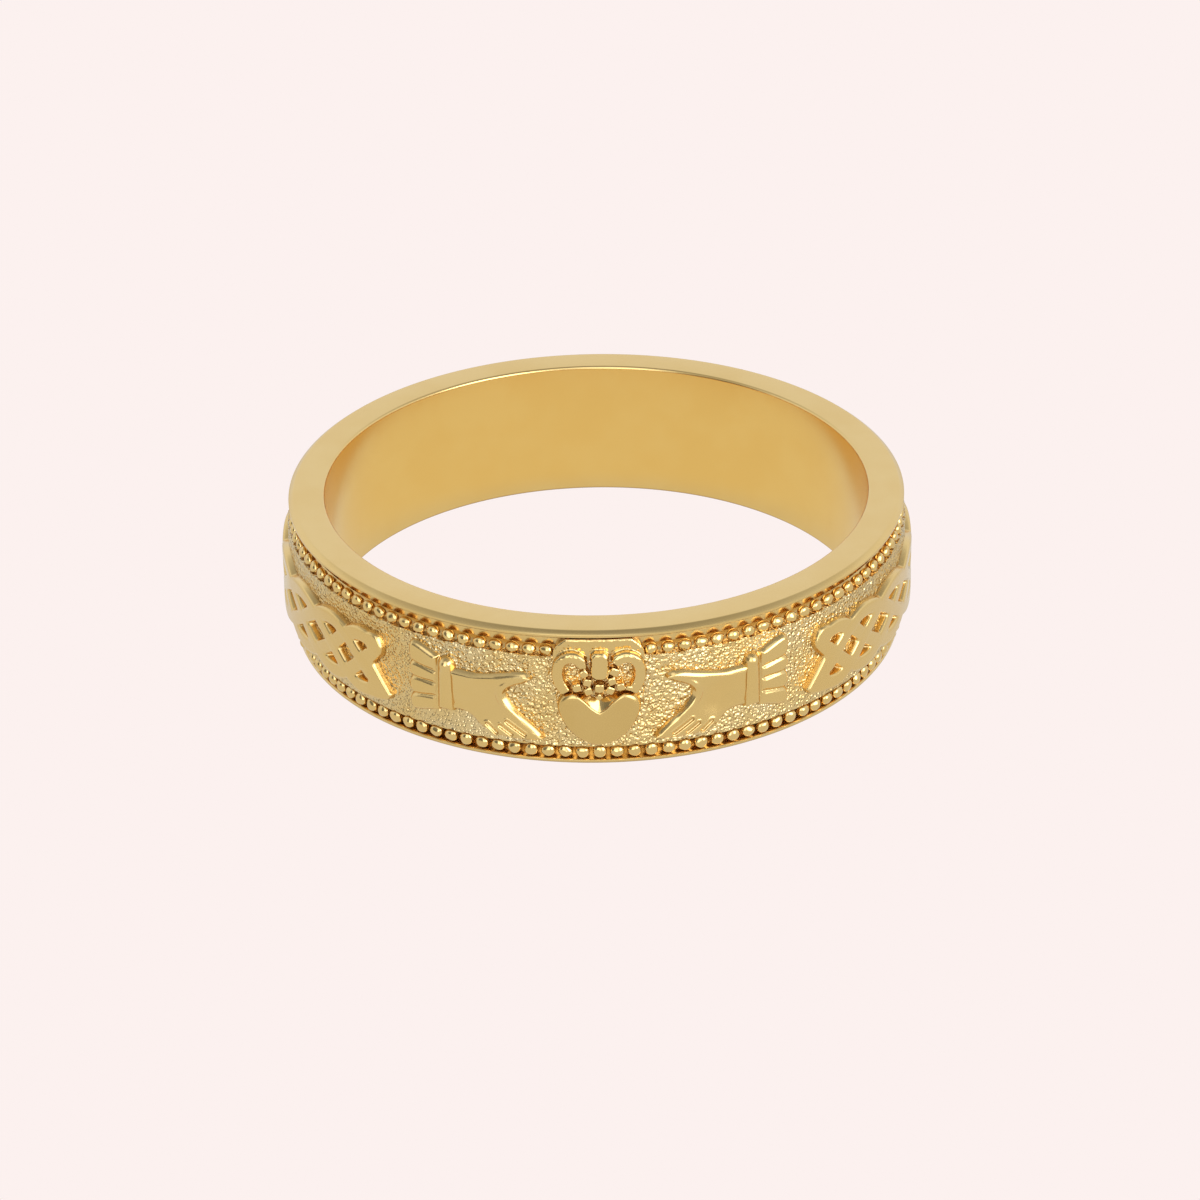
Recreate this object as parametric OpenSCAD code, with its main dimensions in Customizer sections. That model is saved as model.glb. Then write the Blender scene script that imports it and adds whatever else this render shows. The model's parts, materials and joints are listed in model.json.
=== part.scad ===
// A claddagh band ring, cast in one piece and lying flat, with the finger axis upright.
// The origin is the middle of the finger hole at the lower rim. The heart faces -Y.
// Lengths are in millimetres. A distance "along the band" is an arc from the middle of the heart.

/* [Band] */
// Inside diameter of the finger hole
bore_d = 17.3; // [15.3:0.1:21.3]
// Width of the band, along the finger
band_w = 4.6; // [4.5:0.05:5.4]
// Thickness of the metal at the rims
rim_t = 1.13; // [1:0.01:1.6]
// Rounding where the finger hole meets the flat sides
bore_edge_r = 0.2; // [0.05:0.05:0.35]
// Rounding of the outer edge of each rim
rim_edge_r = 0.12; // [0.04:0.02:0.2]

/* [Rims, grooves and ground] */
// Width of the plain rim outside each row of beads
rim_w = 0.27; // [0.22:0.01:0.36]
// Width of the groove that holds a row of beads
groove_w = 0.5; // [0.44:0.02:0.6]
// Depth of that groove below the rim
groove_depth = 0.33; // [0.2:0.01:0.45]
// Depth of the ground behind the figures below the rim
ground_depth = 0.08; // [0.02:0.01:0.15]

/* [Beads] */
// Diameter of a bead
bead_d = 0.4; // [0.3:0.02:0.42]
// Least gap between one bead and the next
bead_gap = 0.1; // [0.04:0.01:0.3]
// Depth that a bead sinks into the floor of its groove
bead_sink = 0.05; // [0.03:0.01:0.1]

/* [Heart] */
// Width of the heart
heart_w = 2.5; // [2:0.05:2.8]
// Height of the heart
heart_h = 1.76; // [1.4:0.02:1.9]
// Height of its middle above the flat figures
heart_proud = 0.1; // [0:0.01:0.2]
// Fall of its polished dome from the middle to the sides
heart_fall = 0.2; // [0.1:0.02:0.3]

/* [Crown] */
// Width of the crown
crown_w = 2.85; // [2.4:0.05:3]
// Width of the two arched bands of the crown
arch_w = 0.3; // [0.2:0.02:0.36]
// Depth of the crown's back plate below the arches
plate_depth = 0.16; // [0.08:0.02:0.24]
// Diameter of the long middle bead
long_bead_d = 0.46; // [0.3:0.02:0.5]
// Length of the long middle bead
long_bead_l = 0.94; // [0.7:0.02:1.1]
// Diameter of the small beads along the foot of the crown
foot_bead_d = 0.32; // [0.2:0.02:0.36]

/* [Hands] */
// Distance along the band from the middle of the heart to the fingertips
hand_gap = 1.64; // [1.5:0.02:2]
// Length of a hand from its fingertips to the wrist
hand_l = 2.94; // [2.4:0.02:3]
// Height of a hand across the band
hand_h = 2.36; // [2:0.02:2.6]
// Width of the grooves between the fingers
finger_groove_w = 0.13; // [0.08:0.01:0.16]

/* [Cuffs] */
// Gap between the hand and its wristband
wrist_gap = 0.08; // [0.04:0.01:0.12]
// Width of the wristband, along the band
wrist_w = 0.46; // [0.3:0.02:0.6]
// Height of the wristband across the band
wrist_h = 1.84; // [1.5:0.02:2]
// Length of the pleats of the cuff
pleat_l = 1.04; // [0.7:0.02:1.2]
// Height of the pleats at their outer ends
pleat_h = 2.34; // [1.8:0.02:2.5]

/* [Knotwork] */
// Distance along the band from the middle of the heart to the tip of the knotwork
knot_start = 6.78; // [6.6:0.02:7.6]
// Length of its pointed end, from the tip to the first crossing
knot_end_l = 1.28; // [1.1:0.02:1.5]
// Half the length of one plait, once the plaits have their full size
plait_l = 1.22; // [1.1:0.02:1.6]
// Width of the flat ribbons
ribbon_w = 0.52; // [0.36:0.02:0.56]
// Height of the knotwork at its pointed end
knot_h_start = 2.4; // [2.2:0.02:2.6]
// Height of the knotwork at its full size
knot_h = 2.84; // [2.6:0.02:2.9]

/* [Relief] */
// Height of the flat figures above the ground
relief_h = 0.38; // [0.25:0.01:0.5]
// Clear ground between the lower groove and the figures above it
figure_gap = 0.06; // [0.04:0.01:0.12]

/* [Hidden] */
$fn = 96;

// Radii, from the finger hole outwards
bore_r = bore_d / 2;
rim_r = bore_r + rim_t;
groove_r = rim_r - groove_depth;
ground_r = rim_r - ground_depth;
relief_r = ground_r + relief_h;
root_r = bore_r + (groove_r - bore_r) * 0.7;
arc_r = (ground_r + relief_r) / 2;

// Heights across the band
ground_z0 = rim_w + groove_w;
ground_z1 = band_w - ground_z0;
figure_z = ground_z0 + figure_gap;
half_turn = PI * arc_r;

// Beads in one row, and the places of the two rows
bead_r = groove_r + bead_d / 2 - bead_sink;
bead_count = floor(2 * PI * bead_r / (bead_d + bead_gap));
bead_z = rim_w + groove_w / 2;

// The crown stands on the heart and runs into the upper rim
crown_z = figure_z + heart_h - 0.03;
crown_top = band_w - rim_w + rim_edge_r / 2;
crown_h = crown_top - crown_z;
plate_r = relief_r - plate_depth;
foot_bead_r = plate_r - foot_bead_d / 8;

// Steps in one stretch of an outline, and in one rounded edge
curve_steps = 3;
edge_steps = 5;

// Right half of the heart: [share of half the width, share of the height, corner]
HEART = [
    [0, 0.80, 1], [0.24, 0.94, 0], [0.56, 1, 0], [0.86, 0.92, 0], [1, 0.74, 0],
    [0.93, 0.52, 0], [0.70, 0.26, 0], [0.36, 0.07, 0], [0, 0, 0]
];

// Right half of the crown's back plate: [share of half the width, share of the height, corner]
PLATE = [
    [0, 1, 0], [0.7, 1, 1], [0.94, 0.84, 0], [1, 0.62, 0], [0.94, 0.3, 0],
    [0.8, 0.02, 1], [0.45, 0.03, 0], [0, -0.14, 1]
];

// Right arch of the crown, from its foot over the top and down inside, in the same shares
ARCH = [
    [0.78, 0.06], [0.87, 0.32], [0.89, 0.6], [0.76, 0.82], [0.5, 0.84], [0.34, 0.68], [0.31, 0.46]
];

// Hollow inside the right arch, in the same shares, with a corner column
HOLLOW = [[0.42, 0.34, 0], [0.52, 0.64, 0], [0.68, 0.62, 0], [0.7, 0.4, 0], [0.58, 0.26, 0]];

// Small beads along the foot of the crown, in the same shares
FOOT_BEADS = [[-0.7, 0.13], [-0.46, 0.1], [-0.2, 0.17], [0.05, 0.08], [0.28, 0.16], [0.52, 0.1], [0.74, 0.13]];

// A hand, thumb uppermost: [share of the length from the wrist, share of the height, corner]
HAND = [
    [0, 0.90, 1], [0.14, 0.895, 0], [0.28, 0.895, 0], [0.52, 0.955, 0], [0.69, 1, 0],
    [0.81, 1, 0], [0.88, 0.92, 0], [0.79, 0.83, 0], [0.67, 0.77, 0], [0.6, 0.7, 0],
    [0.62, 0.58, 0], [0.72, 0.41, 0], [0.86, 0.26, 0], [0.965, 0.13, 0], [1, 0.05, 0],
    [0.93, 0.01, 0], [0.69, 0, 0], [0.48, 0.03, 0], [0.34, 0.1, 0], [0.2, 0.22, 0],
    [0.1, 0.26, 0], [0, 0.26, 1]
];

// Grooves between the fingers: [start along, start up, end along, end up], in the hand's shares
FINGER_GROOVES = [[0.58, 0.34, 0.9, 0.11], [0.54, 0.24, 0.73, 0.06], [0.38, 0.24, 0.53, 0.07]];

// Pleats of the cuff: [inner low, inner high, outer low, outer high], as shares of their height
PLEATS = [[0.1, 0.29, 0, 0.2], [0.31, 0.465, 0.24, 0.47], [0.485, 0.635, 0.51, 0.68], [0.655, 0.85, 0.71, 1]];

// Outline of the knotwork's pointed end, from the first arch to the lower edge:
// [share of the end's length, share of the starting height, corner]
KNOT_END = [
    [0, 1, 0], [0.4, 0.99, 0], [0.68, 0.93, 1], [0.71, 0.83, 0], [0.54, 0.63, 0],
    [0.33, 0.51, 1], [0.65, 0.33, 0], [1, 0.15, 1], [0.84, 0.05, 0], [0.5, -0.01, 1]
];

// Length of each of the first half plaits as a share of the full one
FIRST_PLAITS = [0.61, 0.61, 0.82, 0.86, 0.94];

// Phase of a ribbon, in degrees, from one column of crossings to the next
column_phase = 45;
// Columns of crossings over which the knotwork grows to its full height
grow_columns = 8;
// Steps between one column of crossings and the next
column_steps = 4;

// Direction of an outline of rows [along, up, corner] as it leaves or reaches its point i
function slope(p, i, leaving) = let(
        n = len(p),
        before = p[(i + n - 1) % n],
        here = p[i % n],
        after = p[(i + 1) % n]
    )
    here[2] == 0 ? (after - before) / 2 : leaving ? after - here : here - before;

// Point at share t of the curve from a, leaving along u, to b, reached along v
function curve_point(a, u, b, v, t) =
    (2 * t ^ 3 - 3 * t ^ 2 + 1) * a + (t ^ 3 - 2 * t ^ 2 + t) * u
    + (3 * t ^ 2 - 2 * t ^ 3) * b + (t ^ 3 - t ^ 2) * v;

// Closed outline through the rows of p, stretched to the given size
function outline(p, size) = [
    for (i = [0 : len(p) - 1], k = [0 : curve_steps - 1])
        let(
            u = slope(p, i, true),
            v = slope(p, i + 1, false),
            q = curve_point(p[i], u, p[(i + 1) % len(p)], v, k / curve_steps)
        )
        [q[0] * size[0], q[1] * size[1]]
];

// Whole outline table from its right half
function mirrored(half) = concat(
    half,
    [for (i = [len(half) - 1 : -1 : 0]) if (half[i][0] > 0) [-half[i][0], half[i][1], half[i][2]]]
);

// Points of an open curve through the rows of p
function open_curve(p) = [
    for (i = [0 : len(p) - 2], k = [0 : curve_steps])
        if (k < curve_steps || i == len(p) - 2)
            let(
                u = (p[i + 1] - p[max(i - 1, 0)]) / 2,
                v = (p[min(i + 2, len(p) - 1)] - p[i]) / 2
            )
            curve_point(p[i], u, p[i + 1], v, k / curve_steps)
];

// Sideways direction of a path at its point i
function sideways(path, i) = let(
        d = path[min(i + 1, len(path) - 1)] - path[max(i - 1, 0)]
    )
    [-d[1], d[0]] / norm(d);

// Outline of a strip of even width along a path
function strip(path, width) = concat(
    [for (i = [0 : len(path) - 1]) path[i] + sideways(path, i) * width / 2],
    [for (i = [len(path) - 1 : -1 : 0]) path[i] - sideways(path, i) * width / 2]
);

// Points of a quarter round edge of radius r about a centre, from angle a
function edge_arc(centre, r, a) = [
    for (k = [0 : edge_steps]) centre + r * [cos(a + 90 * k / edge_steps), sin(a + 90 * k / edge_steps)]
];

// Angle round the band of a distance along it
function turn(distance) = distance / arc_r * 180 / PI;

// A flat figure, x along the band and y across it, raised from inside the metal to radius top_r
module raised(distance, top_r) {
    intersection() {
        rotate([0, 0, turn(distance)])
            rotate([90, 0, 0])
                translate([0, 0, root_r])
                    linear_extrude(top_r - root_r + 1)
                        children();
        cylinder(r = top_r, h = band_w);
    }
}

// Cross-section of the bare band: x is the radius, y the height
module band_section() {
    polygon(concat(
        edge_arc([rim_r - rim_edge_r, rim_edge_r], rim_edge_r, -90),
        [[rim_r, rim_w], [groove_r, rim_w], [groove_r, ground_z0], [ground_r, ground_z0]],
        [[ground_r, ground_z1], [groove_r, ground_z1]],
        [[groove_r, band_w - rim_w], [rim_r, band_w - rim_w]],
        edge_arc([rim_r - rim_edge_r, band_w - rim_edge_r], rim_edge_r, 0),
        edge_arc([bore_r + bore_edge_r, band_w - bore_edge_r], bore_edge_r, 90),
        edge_arc([bore_r + bore_edge_r, bore_edge_r], bore_edge_r, 180)
    ));
}

module band() {
    rotate_extrude()
        band_section();
}

// One row of beads at height z, left out within a distance of the middle of the heart
module bead_row(z, clear) {
    for (i = [0 : bead_count - 1]) {
        a = 360 * i / bead_count;
        if (min(a, 360 - a) > turn(clear))
            rotate([0, 0, a])
                translate([0, -bead_r, z])
                    sphere(d = bead_d, $fn = 16);
    }
}

// Domed heart: its sides are straight and its polished face is part of a ball
module heart() {
    top_r = relief_r + heart_proud;
    ball_r = (heart_w / 2) ^ 2 / (2 * heart_fall);
    intersection() {
        raised(0, top_r)
            translate([0, figure_z])
                polygon(outline(mirrored(HEART), [heart_w / 2, heart_h]));
        translate([0, ball_r - top_r, figure_z + heart_h / 2])
            sphere(ball_r);
    }
}

// One side of the crown, on the right for side 1 and on the left for side -1
module crown_arch(side) {
    size = [side * crown_w / 2, crown_h];
    path = open_curve([for (p = ARCH) [p[0] * size[0], p[1] * size[1]]]);
    raised(0, relief_r)
        translate([0, crown_z])
            polygon(strip(path, arch_w));
}

// Crown: hollowed back plate, two arches, a long bead in the middle and small beads at the foot
module crown() {
    size = [crown_w / 2, crown_h];
    raised(0, plate_r)
        translate([0, crown_z])
            difference() {
                polygon(outline(mirrored(PLATE), size));
                for (side = [-1, 1])
                    polygon(outline(HOLLOW, [side * size[0], size[1]]));
            }
    for (side = [-1, 1])
        crown_arch(side);
    translate([0.02 * crown_w, -(relief_r - long_bead_d * 0.4), crown_z + crown_h * 0.56 - long_bead_l / 2])
        long_bead();
    for (p = FOOT_BEADS)
        translate([p[0] * size[0], -foot_bead_r, crown_z + p[1] * size[1]])
            sphere(d = foot_bead_d, $fn = 16);
}

// Long bead with tapered ends, upright
module long_bead() {
    r = long_bead_d / 2;
    taper = long_bead_l * 0.2;
    rotate_extrude()
        polygon([
            [0, 0], [r * 0.6, 0], [r, taper], [r, long_bead_l - taper], [r * 0.6, long_bead_l], [0, long_bead_l]
        ]);
}

// Hand that reaches for the heart, on the left for side -1 and on the right for side 1
module hand(side) {
    size = [-side * hand_l, hand_h];
    raised(side * (hand_gap + hand_l / 2), relief_r)
        translate([side * hand_l / 2, figure_z])
            difference() {
                polygon(outline(HAND, size));
                for (g = FINGER_GROOVES) {
                    start = [g[0] * size[0], g[1] * size[1]];
                    end = [g[2] * size[0], g[3] * size[1]];
                    polygon(strip([start, end], finger_groove_w));
                }
            }
}

// Wristband and pleated cuff behind a hand
module cuff(side) {
    wrist_at = hand_gap + hand_l + wrist_gap;
    wrist_z = figure_z + hand_h * 0.26;
    pleat_at = wrist_at + wrist_w;
    pleat_z = wrist_z + wrist_h / 2 - pleat_h / 2;
    raised(side * (wrist_at + wrist_w / 2), relief_r)
        translate([0, wrist_z + wrist_w / 2]) {
            translate([-wrist_w / 2, -wrist_w / 2])
                square([wrist_w, wrist_h - wrist_w / 2]);
            translate([0, wrist_h - wrist_w])
                circle(d = wrist_w);
        }
    for (p = PLEATS)
        raised(side * (pleat_at + pleat_l / 2), relief_r - 0.04)
            translate([-side * pleat_l / 2, pleat_z])
                polygon(outline(
                    [
                        [-0.06, p[0], 1], [0.8, p[2], 0], [1, (p[2] + p[3]) / 2, 0],
                        [0.8, p[3], 0], [-0.06, p[1], 1]
                    ],
                    [side * pleat_l, pleat_h]
                ));
}

// Knotwork: columns of crossings are numbered from the pointed end. Even columns cross in the
// middle under an arch, odd columns cross above and below a diamond.

// Sum of the first n shares of the table of first plaits
function first_plaits(n) = n <= 0 ? 0 : FIRST_PLAITS[n - 1] + first_plaits(n - 1);
first_count = len(FIRST_PLAITS);
first_end = knot_start + knot_end_l + first_plaits(first_count) * plait_l;
even_count = round((half_turn - first_end) / plait_l);
even_l = (half_turn - first_end) / even_count;
last_column = first_count + even_count;

// Length between column i and the next
function column_l(i) = i < 0 ? FIRST_PLAITS[0] * plait_l : i < first_count ? FIRST_PLAITS[i] * plait_l : even_l;
// Distance along the band of a column, which may lie between two whole ones
function column_at(f) = let(i = floor(f), whole = i < 0 ? -column_l(i)
        : i < first_count ? first_plaits(i) * plait_l
        : first_plaits(first_count) * plait_l + (i - first_count) * even_l)
    knot_start + knot_end_l + whole + (f - i) * column_l(i);
// Height of the knotwork, the reach of a ribbon's middle line and the middle height at a column
function height_at(f) = knot_h_start + (knot_h - knot_h_start) * min(max(f / grow_columns, 0), 1);
function reach_at(f) = (height_at(f) - ribbon_w) / 2;
function middle_at(f) = figure_z + height_at(f) / 2;
// Half the width of a ribbon, measured across the band, where it climbs by rise for each column
function half_ribbon(f, rise) = ribbon_w / 2 * sqrt(1 + (rise / column_l(floor(f))) ^ 2);

// Ribbon in an arch: its middle line above the middle height, d columns from the arch's column
function arch_line(f, d) = reach_at(f) * cos(column_phase * d);
function arch_half(f, d) = half_ribbon(f, reach_at(f) * column_phase * PI / 180 * sin(column_phase * d));
// Ribbon leaving a middle crossing, d columns from it
function cross_line(f, d) = reach_at(f) * sin(column_phase * abs(d));
function cross_half(f, d) = half_ribbon(f, reach_at(f) * column_phase * PI / 180 * cos(column_phase * d));

// Opening under an arch, turned over for the one at the lower edge: up is 1 or -1
function arch_gap(i, d) = arch_line(i + d, d) - arch_half(i + d, d) - cross_line(i + d, d) - cross_half(i + d, d);
function arch_hole(i, up) = let(
        steps = [for (k = [-column_steps : column_steps]) k / column_steps],
        d = [for (s = steps) if (arch_gap(i, s) > 0) s]
    )
    concat(
        [for (s = d) [column_at(i + s), middle_at(i + s) + up * (arch_line(i + s, s) - arch_half(i + s, s))]],
        [for (k = [len(d) - 1 : -1 : 0])
            [column_at(i + d[k]), middle_at(i + d[k]) + up * (cross_line(i + d[k], d[k]) + cross_half(i + d[k], d[k]))]]
    );

// Diamond between two middle crossings
function diamond_half(i, d) = cross_line(i + d, 1 - abs(d)) - cross_half(i + d, 1 - abs(d));
function diamond(i) = let(
        steps = [for (k = [-column_steps : column_steps]) k / column_steps],
        d = [for (s = steps) if (diamond_half(i, s) > 0) s]
    )
    concat(
        [for (s = d) [column_at(i + s), middle_at(i + s) + diamond_half(i, s)]],
        [for (k = [len(d) - 1 : -1 : 0]) [column_at(i + d[k]), middle_at(i + d[k]) - diamond_half(i, d[k])]]
    );

// Space above an arch, up to clear of the knotwork, from d0 to d1 columns from its own
function above_arch(i, d0, d1) = let(
        steps = [for (k = [0 : 2 * column_steps]) d0 + (d1 - d0) * k / (2 * column_steps)]
    )
    concat(
        [for (s = steps) [column_at(i + s), middle_at(i + s) + arch_line(i + s, s) + arch_half(i + s, s)]],
        [[column_at(i + d1), band_w], [column_at(i + d0), band_w]]
    );

// Cuts a flat shape, drawn at its own place along the band, right through the knotwork's thickness
module pierced(side, at, points) {
    rotate([0, 0, side * turn(at)])
        rotate([90, 0, 0])
            translate([0, 0, root_r - 1])
                linear_extrude(relief_r - root_r + 2)
                    polygon([for (p = points) [side * (p[0] - at), p[1]]]);
}

// Cuts the pointed end out of the knotwork
module knot_end_cut(side) {
    at = column_at(0);
    far = knot_end_l * 1.2;
    points = outline(KNOT_END, [-knot_end_l, knot_h_start]);
    last = len(points) - curve_steps;
    trimmed = [for (k = [0 : last]) [at + points[k][0], figure_z + points[k][1]]];
    pierced(side, at, concat(trimmed, [[at - far, figure_z - 0.1], [at - far, band_w], [at, band_w]]));
}

module knotwork() {
    a = turn(knot_start);
    overlap = 0.03;
    difference() {
        rotate([0, 0, a - 90])
            rotate_extrude(angle = 360 - 2 * a)
                translate([root_r, figure_z])
                    square([relief_r - root_r, knot_h]);
        for (side = [-1, 1]) {
            knot_end_cut(side);
            for (i = [0 : last_column])
                if (i < last_column || side == 1) {
                    if (i % 2 == 0) {
                        pierced(side, column_at(i), arch_hole(i, 1));
                        pierced(side, column_at(i), arch_hole(i, -1));
                        pierced(side, column_at(i), above_arch(i, i == 0 ? -overlap : -1 - overlap, 1 + overlap));
                    } else {
                        pierced(side, column_at(i), diamond(i));
                    }
                }
        }
    }
}

// The whole casting
module ring() {
    color("#d8b765")
        union() {
            band();
            bead_row(bead_z, 0);
            bead_row(band_w - bead_z, crown_w / 2 + bead_d / 4);
            heart();
            crown();
            for (side = [-1, 1]) {
                hand(side);
                cuff(side);
            }
            knotwork();
        }
}

ring();
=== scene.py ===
"""A gold claddagh band ring lying on a pale floor.

Every ornament is drawn flat on the bench in millimetres: x runs along the band from the middle of
the heart, y across the band from its lower rim, and z out from the ground behind the figures. It is
then wrapped round the band and brought to metres.
"""

import json
import logging
import math
from collections.abc import Callable, Sequence
from dataclasses import dataclass
from enum import Enum
from functools import cache

import bmesh
import bpy
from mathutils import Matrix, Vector


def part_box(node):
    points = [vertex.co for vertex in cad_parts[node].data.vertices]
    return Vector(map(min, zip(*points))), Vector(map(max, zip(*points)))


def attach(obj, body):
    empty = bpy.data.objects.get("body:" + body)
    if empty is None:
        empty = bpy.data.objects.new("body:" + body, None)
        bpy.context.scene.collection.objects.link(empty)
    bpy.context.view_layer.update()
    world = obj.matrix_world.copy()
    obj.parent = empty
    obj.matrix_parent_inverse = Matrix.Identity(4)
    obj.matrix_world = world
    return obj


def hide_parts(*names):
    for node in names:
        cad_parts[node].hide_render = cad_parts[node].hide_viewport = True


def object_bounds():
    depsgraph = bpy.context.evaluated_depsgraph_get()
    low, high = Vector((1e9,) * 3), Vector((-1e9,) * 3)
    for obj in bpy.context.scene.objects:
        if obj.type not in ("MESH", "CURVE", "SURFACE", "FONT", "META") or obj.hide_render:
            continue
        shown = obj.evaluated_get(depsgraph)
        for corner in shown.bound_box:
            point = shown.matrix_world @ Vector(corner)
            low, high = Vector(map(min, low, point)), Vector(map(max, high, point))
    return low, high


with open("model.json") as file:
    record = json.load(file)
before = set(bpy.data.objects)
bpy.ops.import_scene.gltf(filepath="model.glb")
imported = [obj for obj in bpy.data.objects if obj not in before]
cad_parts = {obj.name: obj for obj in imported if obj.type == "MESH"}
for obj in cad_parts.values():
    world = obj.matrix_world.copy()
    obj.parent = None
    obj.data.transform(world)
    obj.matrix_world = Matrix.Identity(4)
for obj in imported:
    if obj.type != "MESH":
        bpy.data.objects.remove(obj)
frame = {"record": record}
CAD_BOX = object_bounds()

LOG = logging.getLogger("ring")
MM = 0.001
# Points of a drawn line that are closer than this, in millimetres, are one.
WELD = 1e-4
# Points in each stretch of a curved outline.
CURVE_STEPS = 5
# Height up to which the cutting tools reach.
TOOL_TOP = 1.0

Point = tuple[float, float]
# Row of a table. The rows of a curved outline hold along, up, and 1 at a corner or 0 elsewhere.
Row = tuple[float, ...]


class Side(Enum):
    """Which side of the heart a sub-assembly lies on, seen from the front."""

    LEFT = -1
    RIGHT = 1


class Edge(Enum):
    """Which rim of the band a row of beads follows."""

    LOWER = "lower"
    UPPER = "upper"


@dataclass(frozen=True)
class BandSizes:
    """Main sizes of the ring in millimetres, shared by every sub-assembly.

    The bore, the width and the outer radius come from the frame. The figures may stand relief_h above
    the ground, and the rims and the grooves lie below it by their drops and groove_depth. Lengths along
    the band are true arc_depth below the outer radius. ground_y holds the lower and upper edge of the
    ground across the band, bead_y the middle of each row of beads, and figure_y is where the figures
    start. An ornament reaches down into the metal by root.
    """

    bore_r: float
    band_w: float
    relief_r: float
    relief_h: float = 0.24
    arc_depth: float = 0.19
    lower_rim_drop: float = 0.12
    upper_rim_drop: float = 0.04
    groove_depth: float = 0.36
    lower_rim_w: float = 0.16
    upper_rim_w: float = 0.21
    bead_y: Point = (0.43, 3.89)
    ground_y: Point = (0.73, 3.77)
    figure_y: float = 0.83
    root: float = 0.2

    @classmethod
    def from_frame(cls) -> "BandSizes":
        """Read the sizes that the frame fixes.

        Returns:
            The sizes, with those that were fitted to the photograph.
        """
        low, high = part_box("ring")
        bore = next(mount for mount in frame["record"]["mounts"] if mount["name"] == "finger_bore")
        return cls(
            bore_r=bore["dims"]["r_mm"],
            band_w=(high[2] - low[2]) / MM,
            relief_r=high[0] / MM,
        )

    @property
    def ground_r(self) -> float:
        """Radius of the ground behind the figures."""
        return self.relief_r - self.relief_h

    @property
    def groove_r(self) -> float:
        """Radius of the floor of the grooves under the beads."""
        return self.ground_r - self.groove_depth

    @property
    def arc_r(self) -> float:
        """Radius on which lengths along the band are true."""
        return self.relief_r - self.arc_depth

    @property
    def half_turn(self) -> float:
        """Length along the band from the heart to the middle of the back."""
        return math.pi * self.arc_r


def deselect_all() -> None:
    """Leave every object unselected."""
    bpy.ops.object.select_all(action="DESELECT")


def hold(piece: bpy.types.Object) -> None:
    """Select one object alone and make it the active one.

    Args:
        piece: The object.
    """
    deselect_all()
    piece.select_set(True)
    bpy.context.view_layer.objects.active = piece


def edit(piece: bpy.types.Object) -> None:
    """Open one object in edit mode."""
    hold(piece)
    bpy.ops.object.mode_set(mode="EDIT")


def leave_edit() -> None:
    """Go back to object mode."""
    bpy.ops.object.mode_set(mode="OBJECT")


def settle() -> None:
    """Apply the active object's place, turn and scale to its mesh."""
    bpy.ops.object.transform_apply(location=True, rotation=True, scale=True)


def select_all() -> None:
    """Select the whole of the open mesh."""
    bpy.ops.mesh.select_all(action="SELECT")


def extrude(move: Sequence[float]) -> None:
    """Extrude what is selected in the open mesh."""
    bpy.ops.mesh.extrude_region_move(TRANSFORM_OT_translate={"value": move})


def pick(piece: bpy.types.Object, wanted: Callable[[Vector], bool]) -> None:
    """Select vertices by their place, in edit mode.

    Args:
        piece: The object that is open in edit mode.
        wanted: Says whether a vertex at this place is selected.
    """
    mesh = bmesh.from_edit_mesh(piece.data)
    for vertex in mesh.verts:
        vertex.select = not vertex.hide and wanted(vertex.co)
    mesh.select_flush_mode()
    bmesh.update_edit_mesh(piece.data)


def close_up() -> None:
    """Merge doubles, point every face of the open mesh outwards and leave edit mode."""
    select_all()
    bpy.ops.mesh.remove_doubles(threshold=WELD)
    select_all()
    bpy.ops.mesh.normals_make_consistent(inside=False)
    leave_edit()


def draw_face(name: str, corners: Sequence[Vector]) -> bpy.types.Object:
    """Draw a closed line by extruding one vertex from corner to corner, and fill it.

    Args:
        name: The new object's name.
        corners: The line's points in order.

    Returns:
        The new object, in edit mode with its one face selected.
    """
    deselect_all()
    bpy.ops.mesh.primitive_plane_add(size=0.1, location=corners[0])
    piece = bpy.context.object
    piece.name = name
    settle()
    bpy.ops.object.mode_set(mode="EDIT")
    select_all()
    bpy.ops.mesh.merge(type="CENTER")
    for start, end in zip(corners, [*corners[1:], corners[0]]):
        extrude(end - start)
    select_all()
    bpy.ops.mesh.remove_doubles(threshold=WELD)
    select_all()
    bpy.ops.mesh.edge_face_add()
    return piece


def face_up(piece: bpy.types.Object) -> None:
    """Turn the one face of a fresh outline so that it looks out from the band.

    Args:
        piece: The object that is open in edit mode.
    """
    mesh = bmesh.from_edit_mesh(piece.data)
    mesh.normal_update()
    if mesh.faces[:][0].normal.z < 0:
        bpy.ops.mesh.flip_normals()


def plate(
    name: str, corners: Sequence[Point], low: float, top: float, edge: Sequence[Point] = (), lean: float = 0.0
) -> bpy.types.Object:
    """Raise a flat outline into a solid with an eased edge.

    Args:
        name: The new object's name.
        corners: The outline on the bench.
        low: Height of its underside.
        top: Height of its top.
        edge: Pairs of inset and rise that ease the edge, up to the top.
        lean: How far the wall leans in between the ground and the edge, or 0 for an upright wall.

    Returns:
        The closed solid, in object mode.
    """
    wall = top - sum(rise for _, rise in edge)
    piece = draw_face(name, [Vector((x, y, low)) for x, y in corners])
    face_up(piece)
    extrude((0, 0, -low if lean else wall - low))
    for inset, rise in [(lean, wall), *edge] if lean else edge:
        bpy.ops.mesh.inset(thickness=inset, depth=rise, use_even_offset=False)
    close_up()
    return piece


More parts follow.
